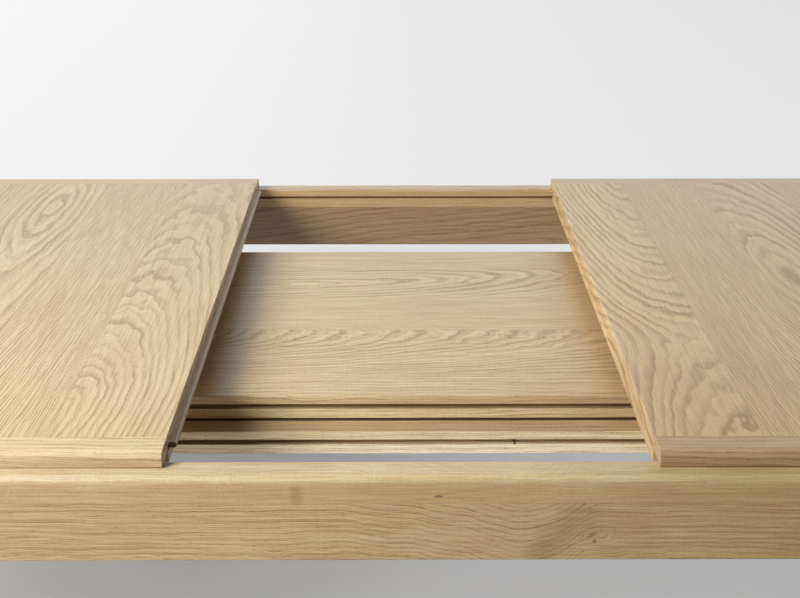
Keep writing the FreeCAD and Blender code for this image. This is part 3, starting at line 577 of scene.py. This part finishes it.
# the long rails: a tall lower board and a low upper one, grain along the table
frontRail = {
    "grain": "x", "across": "z", "depth": "y",
    "face": -table["railFace"],
    "start": table["railFoot"],
    "widths": table["railBoards"],
    "tint": (0.87, 0.815, 0.76),
    "boards": [
        board(51, pith=-70.0, deep=30.0, ring=6.5, contrast=0.55, fine=0.65, tone=0.45,
              uneven=2.2, wobble=2.6),
        board(52, pith=-190.0, deep=60.0, ring=5.0, contrast=0.2, fine=0.25, tone=0.8,
              rays=0.26),
    ],
    "knots": [
        {"across": 649.0, "along": 199.0, "size": 3.0, "long": 0.9, "push": 5.0,
         "dark": 0.6},
        {"across": 707.0, "along": 29.0, "size": 2.2, "long": 3.2, "push": 3.0,
         "dark": 0.6},
    ],
    "pulls": [          # the swirl in the grain right of the middle
        {"along": 40.0, "reach": 120.0, "shift": 10.0},
        {"along": 90.0, "reach": 95.0, "shift": 12.0},
        {"along": 130.0, "reach": 75.0, "shift": 16.0},
        {"along": 142.0, "reach": 50.0, "shift": 8.0},
    ],
    "spots": [
        # the upper face, painted lighter and cooler all over as a painted sheen, with
        # painted shade at its right end, painted light in its middle and a cooler left
        # end
        spot((1.13, 1.30, 1.50), 9.0, z=(727.0, 733.0)),
        spot((0.84, 0.80, 0.64), 400.0, x=(480.0, 900.0), z=(725.0, 733.0)),
        spot((1.12, 1.12, 1.10), (150.0, 2.0), x=(-50.0, 100.0), z=(729.0, 733.0)),
        spot((1.00, 1.04, 1.13), (100.0, 2.0), x=(-900.0, -300.0), z=(729.0, 733.0)),
        # painted light: the right end of the outer face, made lighter
        spot((1.07, 1.09, 1.14), (110.0, 4.0), x=(340.0, 900.0), z=(620.0, 723.0)),
        # the darker wood of the swirl, and a stain left of the middle
        spot((0.82, 0.78, 0.72), 22.0, x=(138.0, 142.0), z=(626.0, 638.0)),
        spot((0.82, 0.78, 0.72), 26.0, x=(152.0, 160.0), z=(648.0, 660.0)),
        spot((0.82, 0.78, 0.72), 26.0, x=(174.0, 190.0), z=(668.0, 680.0)),
        spot((0.80, 0.74, 0.68), 9.0, x=(-125.0, -122.0), z=(703.0, 716.0)),
    ],
}
backRail = {
    "grain": "x", "across": "z", "depth": "y",
    "face": table["railInside"],
    "start": table["railFoot"],
    "widths": table["railBoards"],
    "tint": (0.86, 0.80, 0.80),
    "boards": [
        board(55, pith=-60.0, lean=0.12, deep=20.0, ring=11.0, contrast=0.6, tone=0.75),
        board(56, pith=-150.0, deep=60.0, ring=5.0, contrast=0.3, tone=0.6),
    ],
    "spots": [
        # the lower board's inner face, darker, and the upper face of the rail, painted
        # lighter as a painted sheen
        spot((0.65, 0.63, 0.63), 1.5, y=(460.0, 468.0), z=(620.0, 697.0)),
        spot((1.15, 1.17, 1.18), 2.0, z=(729.0, 733.0)),
    ],
}

# the lippings whose colour differs from their neighbours', with painted shade on
# their front faces and on the left one's inner end; and the tongue's near end,
# painted nearly black as painted shade
lippingLooks = {
    "left_front_lipping": {
        "tint": (1.07, 1.10, 1.15),
        # painted shade: its front face darker, and its inner end darker still
        "spots": [spot((0.81, 0.79, 0.77), 3.0, y=(-480.0, -477.0)),
                  spot((0.5, 0.46, 0.42), 0.5, x=(-267.5, -260.0))],
    },
    "right_front_lipping": {
        "tint": (0.80, 0.70, 0.62),
        # painted shade: its front face darker; its inner end made cooler
        "spots": [spot((0.82, 0.82, 0.86), 3.0, y=(-480.0, -477.0)),
                  spot((1.0, 1.12, 1.3), 0.4, x=(260.0, 267.2))],
    },
}
# painted shade: the tongue's near end face painted nearly black
tongueEndPaintedShade = spot((0.28, 0.25, 0.22), 0.5, y=(-438.0, -436.0))


def onePiece(ways, face, start, width, seed, **changes):
    # a piece cut from one board; ways names its axes along, across and into the wood
    return {"grain": ways[0], "across": ways[1], "depth": ways[2], "face": face,
            "start": start, "widths": (width,), "boards": [board(seed, **changes)]}


def tonguePlan(ways, face, glued, seed):
    return onePiece(ways, face, glued - table["tongueSeat"], table["tongueWidth"], seed)


def endRailPlan(side, seed, pith):
    return onePiece("yzx", table["endRailFace"] * side, table["railFoot"],
                    table["endRailHeight"], seed, pith=pith, deep=30.0, bend=0.12,
                    ring=9.0)


def bearerPlan(side, seed):
    start = table["bearerMiddle"] * side - table["bearerWidth"] / 2.0
    return onePiece("yxz", table["bearerFace"], start, table["bearerWidth"], seed)


leafBack = table["leafWidth"] / 2.0
woodPlans = {
    "left_top_panel": leftTop,
    "right_top_panel": rightTop,
    "upper_leaf_panel": upperLeaf,
    "lower_leaf_panel": lowerLeaf,
    "front_rail": frontRail,
    "back_rail": backRail,
    "left_tongue": tonguePlan("yxz", 740.0, -table["topEdge"], 61),
    "upper_leaf_tongue": tonguePlan("xyz", 680.0, leafBack, 62),
    "lower_leaf_tongue": tonguePlan("xyz", 645.0, leafBack + table["lowerLeafMiddle"],
                                    63),
    "left_end_rail": endRailPlan(-1, 64, 10.0),
    "right_end_rail": endRailPlan(1, 65, -15.0),
    "left_leaf_bearer": bearerPlan(-1, 66),
    "right_leaf_bearer": bearerPlan(1, 67),
}
ends = (("left", -1), ("right", 1))
cornerSeeds = {("front", "left"): 70, ("front", "right"): 75,
               ("back", "left"): 80, ("back", "right"): 85}
leafEndSeeds = {"left": 91, "right": 92}
for side, across in (("front", -1), ("back", 1)):
    for end, reach in ends:
        seed = cornerSeeds[side, end]
        corner = f"{side}_{end}"
        lipping = f"{end}_{side}_lipping"
        woodPlans[lipping] = onePiece(
            "xyz", table["topFace"],
            table["lippingMiddle"] * across - table["lippingWidth"] / 2.0,
            table["lippingWidth"], seed, tone=0.3)
        woodPlans[lipping].update(lippingLooks.get(lipping, {}))
        woodPlans[f"leg_{corner}"] = onePiece(
            "zxy", table["railFace"] * across,
            table["legMiddle"] * reach - table["legWidth"] / 2.0,
            table["legWidth"], seed + 1, pith=20.0, deep=90.0, tone=0.6)
        woodPlans[f"corner_block_{corner}"] = onePiece(
            "xzy", table["railInside"] * across, table["blockFoot"],
            table["blockHeight"], seed + 2, tone=0.6)
        woodPlans[f"bearer_hanger_{corner}"] = onePiece(
            "zxy", table["hangerFace"] * across,
            table["bearerMiddle"] * reach - table["bearerWidth"] / 2.0,
            table["bearerWidth"], seed + 3, tone=0.6)
for level in ("upper", "lower"):
    for end, reach in ends:
        woodPlans[f"{level}_leaf_{end}_lipping"] = onePiece(
            "yxz", table[f"{level}LeafFace"],
            table["lippingMiddle"] * reach - table["lippingWidth"] / 2.0,
            table["lippingWidth"], leafEndSeeds[end], tone=0.4)
woodPlans["left_tongue"]["spots"] = [tongueEndPaintedShade]


def setMaterial(nodeName, material):
    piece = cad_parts[nodeName]
    if not piece.material_slots:
        piece.data.materials.append(material)
    for materialSlot in piece.material_slots:
        materialSlot.material = material


for nodeName, plan in woodPlans.items():
    setMaterial(nodeName, oak(f"oak {nodeName}", plan))
print("oak painted:", len(woodPlans), "pieces")

# steel, brushed along one axis
steelLook = {
    "bright": colour(150, 152, 154),
    "dull": colour(112, 114, 117),
    "brushLength": 90.0,            # mm
    "brushWidth": 0.5,
    "stainSize": 40.0,
    "stainShare": 0.8,
    "spread": 0.4,
    "roughness": (0.28, 0.42),
    "relief": (0.15, 0.00005),      # strength, and depth in metres
}


def steel(name, grain, look=steelLook):
    paint = newPaint(name)
    place = paint.place()
    stretch = {axis: look["brushLength"] if axis == grain else look["brushWidth"]
               for axis in "xyz"}
    brush = paint.noise(*(place[axis] / stretch[axis] for axis in "xyz"), detail=2.0)
    stain = paint.speckle(place, look["stainSize"], detail=2.0)
    spread = look["spread"]
    shade = paint.mix(look["dull"], look["bright"],
                      (brush + stain * look["stainShare"]).fade(-spread, spread))
    rough = (stain + brush).fade(-spread, spread, *look["roughness"])
    return paint.finish({"Base Color": shade, "Roughness": rough, "Metallic": 1.0},
                        brush, *look["relief"])


feltLook = {
    "dark": colour(70, 66, 60),
    "light": colour(108, 102, 94),
    "fluffSize": 0.9,               # mm
    "blotchSize": 6.0,
    "blotchShare": 0.5,
    "spread": 0.3,
    "roughness": 0.95,
    "relief": (0.8, 0.0004),        # strength, and depth in metres
}


def felt(name, look=feltLook):
    paint = newPaint(name)
    place = paint.place()
    fluff = paint.speckle(place, look["fluffSize"], detail=4.0, roughness=0.7)
    blotch = paint.speckle(place, look["blotchSize"], detail=2.0)
    shade = (fluff + blotch * look["blotchShare"]).fade(-look["spread"], look["spread"])
    return paint.finish({"Base Color": paint.mix(look["dark"], look["light"], shade),
                         "Roughness": look["roughness"]}, fluff, *look["relief"])


rubberLook = {"dark": colour(24, 24, 24), "light": colour(40, 39, 38), "roughness": 0.65}
nylonLook = {"dark": colour(58, 48, 40), "light": colour(74, 62, 52), "roughness": 0.45}
mouldedLook = {
    "grainSize": 0.6,               # mm
    "dustSize": 9.0,
    "grainShare": 0.4,
    "shade": (-0.3, 0.4),
    "dull": (-0.3, 0.3),
    "dullMore": 0.12,
    "relief": (0.2, 0.00005),       # strength, and depth in metres
}


def moulded(name, look, common=mouldedLook):
    # rubber or plastic from a mould, with a little dust
    paint = newPaint(name)
    place = paint.place()
    grain = paint.speckle(place, common["grainSize"], detail=2.0)
    dust = paint.speckle(place, common["dustSize"], detail=3.0)
    shade = (dust + grain * common["grainShare"]).fade(*common["shade"])
    rough = dust.fade(*common["dull"], look["roughness"],
                      look["roughness"] + common["dullMore"])
    return paint.finish({"Base Color": paint.mix(look["dark"], look["light"], shade),
                         "Roughness": rough}, grain, *common["relief"])


screwSteel = steel("zinc steel", "z")
pressedFelt = felt("pressed felt")
smallParts = {      # by the end of the node's name
    "_runner": steel("runner steel", "x"),
    "_screws": screwSteel,
    "_nuts": screwSteel,
    "_bolts": screwSteel,
    "_felt": pressedFelt,
    "_glide_strip": pressedFelt,
    "_buffers": moulded("buffer rubber", rubberLook),
}
brownNylon = moulded("glide nylon", nylonLook)
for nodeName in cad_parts:
    if nodeName.startswith("foot_glide"):
        setMaterial(nodeName, brownNylon)
    for ending, material in smallParts.items():
        if nodeName.endswith(ending):
            setMaterial(nodeName, material)
print("small parts painted")

# a pale floor with painted shade under the table and far off, soft light and
# the camera; lengths in metres unless they say mm
room = {
    "floorSize": 60.0,
    "floorColour": colour(228, 228, 229),
    "floorRoughness": 0.9,
    "farColour": colour(246, 246, 246),
    # painted shade: the far floor darker to the right, as the light falls off
    "farShade": colour(226, 226, 226),
    "farSpread": (-3000.0, 3000.0),     # mm, left to right
    "farRange": (1000.0, 2450.0),       # mm from the middle of the table
    # painted shade: the grey of the floor under the table, paler to the right and front
    "underPaintedShade": colour(172, 173, 174),
    "underPale": colour(222, 224, 226),
    "underSlant": 0.6,
    "underRange": (-950.0, 50.0),       # mm
    "underShare": 0.45,
    "worldColour": colour(250, 251, 255),
    "worldStrength": 0.05,
}
lamps = {
    "softKey": {"place": (-1.87, -1.5, 2.17), "size": (1.25, 1.25), "power": 91.0,
                "colour": (1.0, 0.995, 0.98)},
    "backFill": {"place": (0.0, 3.2, 1.7), "size": (5.0, 2.5), "power": 28.0,
                 "colour": (0.99, 0.995, 1.0)},
}
lampAim = (-0.1, -0.1, 0.74)
view = {
    "place": (-0.016, -1.535, 1.395),
    "pitch": 23.79,     # degrees down from level
    "turn": 0.2,        # degrees to the right
    "lens": 51.75,      # mm
    "sensor": 36.0,     # mm
}


def seenDirectly(paint):
    # 1 for what the camera, a reflection or a clear piece sees, 0 for other light
    camera, glossy, clear = (paint.node("ShaderNodeLightPath", {}, {}, kind) for kind in
                             ("Is Camera Ray", "Is Glossy Ray", "Is Transmission Ray"))
    return camera.larger(glossy.larger(clear))


def makeFloor(look):
    paint = newPaint("studio floor")
    place = paint.place()
    away = (place["x"] * place["x"] + place["y"] * place["y"]).root()
    far = away.fade(*look["farRange"])
    # the far floor, with painted shade darker to the right
    pale = paint.mix(look["farColour"], look["farShade"],
                     place["x"].fade(*look["farSpread"]))
    # painted shade under the table, greyer to the left and back, which glows for the
    # camera over the lit floor
    slant = place["x"] - place["y"] * look["underSlant"]
    near = paint.mix(look["underPaintedShade"], look["underPale"],
                     slant.fade(*look["underRange"]))
    glow = paint.node("ShaderNodeEmission", {}, {"Color": paint.mix(near, pale, far)})
    lit = paint.node("ShaderNodeBsdfPrincipled", {},
                     {"Base Color": look["floorColour"],
                      "Roughness": look["floorRoughness"]})
    share = far.fade(0.0, 1.0, look["underShare"], 1.0) * seenDirectly(paint)
    paint.show(paint.node("ShaderNodeMixShader", {}, {0: share, 1: lit, 2: glow}))
    floorMesh = bpy.data.meshes.new("studioFloor")
    sheet = bmesh.new()
    bmesh.ops.create_grid(sheet, x_segments=1, y_segments=1,
                          size=look["floorSize"] / 2.0)
    sheet.to_mesh(floorMesh)
    sheet.free()
    floorMesh.materials.append(paint.block)
    floor = bpy.data.objects.new("studioFloor", floorMesh)
    bpy.context.scene.collection.objects.link(floor)


def makeLamp(name, look):
    lamp = bpy.data.lights.new(name, "AREA")
    lamp.shape = "RECTANGLE"
    lamp.size, lamp.size_y = look["size"]
    lamp.energy = look["power"]
    lamp.color = look["colour"]
    holder = bpy.data.objects.new(name, lamp)
    holder.location = look["place"]
    aim = Vector(lampAim) - Vector(look["place"])
    holder.rotation_euler = aim.to_track_quat("-Z", "Y").to_euler()
    bpy.context.scene.collection.objects.link(holder)


def makeWorld(look):
    world = bpy.data.worlds.new("studioWorld")
    paint = Paint(world, "World")
    strength = seenDirectly(paint).fade(0.0, 1.0, look["worldStrength"], 1.0)
    shade = paint.mix(look["worldColour"], look["farColour"], seenDirectly(paint))
    paint.show(paint.node("ShaderNodeBackground", {},
                          {"Color": shade, "Strength": strength}))
    bpy.context.scene.world = world


def makeCamera(look):
    lensData = bpy.data.cameras.new("camera")
    lensData.lens = look["lens"]
    lensData.sensor_width = look["sensor"]
    camera = bpy.data.objects.new("camera", lensData)
    camera.location = look["place"]
    camera.rotation_euler = (math.radians(90.0 - look["pitch"]), 0.0,
                             math.radians(-look["turn"]))
    bpy.context.scene.collection.objects.link(camera)
    bpy.context.scene.camera = camera


makeFloor(room)
for lampName, lampLook in lamps.items():
    makeLamp(lampName, lampLook)
makeWorld(room)
makeCamera(view)
bpy.context.scene.view_settings.view_transform = "Standard"
print("room, light and camera set")
